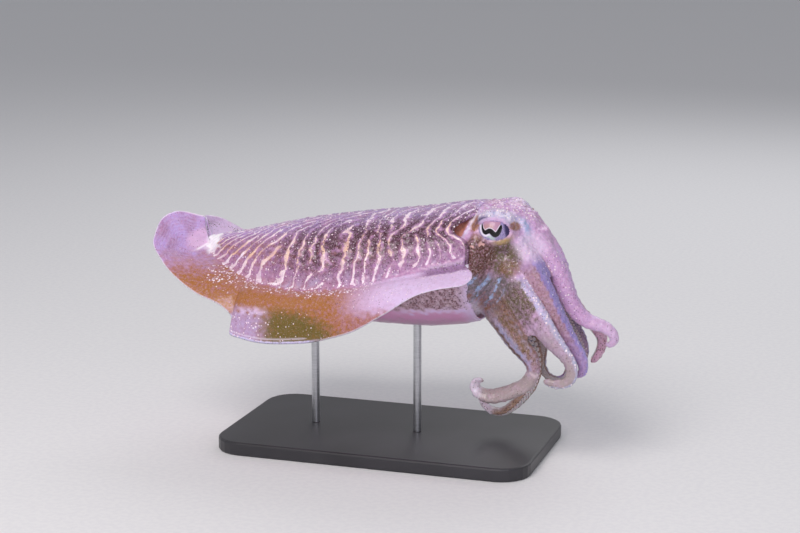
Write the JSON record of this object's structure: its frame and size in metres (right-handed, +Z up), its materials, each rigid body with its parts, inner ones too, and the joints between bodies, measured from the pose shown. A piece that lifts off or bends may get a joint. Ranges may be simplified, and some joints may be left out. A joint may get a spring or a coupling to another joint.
{
  "type": "common cuttlefish",
  "caption": "Life-size common cuttlefish in a hovering swimming pose, arms drooping and curled at their tips, held over a flat display base on two short rods.",
  "frame": {"origin": "centre of the underside of the stand's base, on the ground", "axes": "+X towards the head and arms, +Y to the animal's left, +Z up"},
  "size_m": [0.3481, 0.1692, 0.1874],
  "materials": {
    "mantle_skin": "moist skin, mottled purple-brown with fine white bands across the back",
    "fin_skin": "thin moist skin, orange-tan and lavender with a white edge",
    "head_skin": "moist skin, lavender-pink above and speckled brown and olive below the eye",
    "arm_skin": "moist skin, pale lavender-pink with lighter keels, whitish suckers",
    "eye": "wet and clear, silvery violet iris with a black W-shaped pupil",
    "beak": "dark brown horn",
    "stand_steel": "brushed round rod",
    "stand_lacquer": "satin black lacquer"
  },
  "bodies": {
    "root": {"mantle": "mantle_skin", "fin_right_front": "fin_skin", "fin_right_middle": "fin_skin", "fin_right_rear": "fin_skin", "fin_left_front": "fin_skin", "fin_left_middle": "fin_skin", "fin_left_rear": "fin_skin", "head": "head_skin", "eye_right": "eye", "eye_left": "eye", "funnel": "head_skin", "beak": "beak", "arm_right_1_base": "arm_skin", "arm_right_1_middle": "arm_skin", "arm_right_1_tip": "arm_skin", "arm_right_2_base": "arm_skin", "arm_right_2_middle": "arm_skin", "arm_right_2_tip": "arm_skin", "arm_right_3_base": "arm_skin", "arm_right_3_middle": "arm_skin", "arm_right_3_tip": "arm_skin", "arm_right_4_base": "arm_skin", "arm_right_4_middle": "arm_skin", "arm_right_4_tip": "arm_skin", "arm_left_1_base": "arm_skin", "arm_left_1_middle": "arm_skin", "arm_left_1_tip": "arm_skin", "arm_left_2_base": "arm_skin", "arm_left_2_middle": "arm_skin", "arm_left_2_tip": "arm_skin", "arm_left_3_base": "arm_skin", "arm_left_3_middle": "arm_skin", "arm_left_3_tip": "arm_skin", "arm_left_4_base": "arm_skin", "arm_left_4_middle": "arm_skin", "arm_left_4_tip": "arm_skin", "stand_base": "stand_lacquer", "stand_rod_front": "stand_steel", "stand_rod_rear": "stand_steel"}
  },
  "joints": []
}
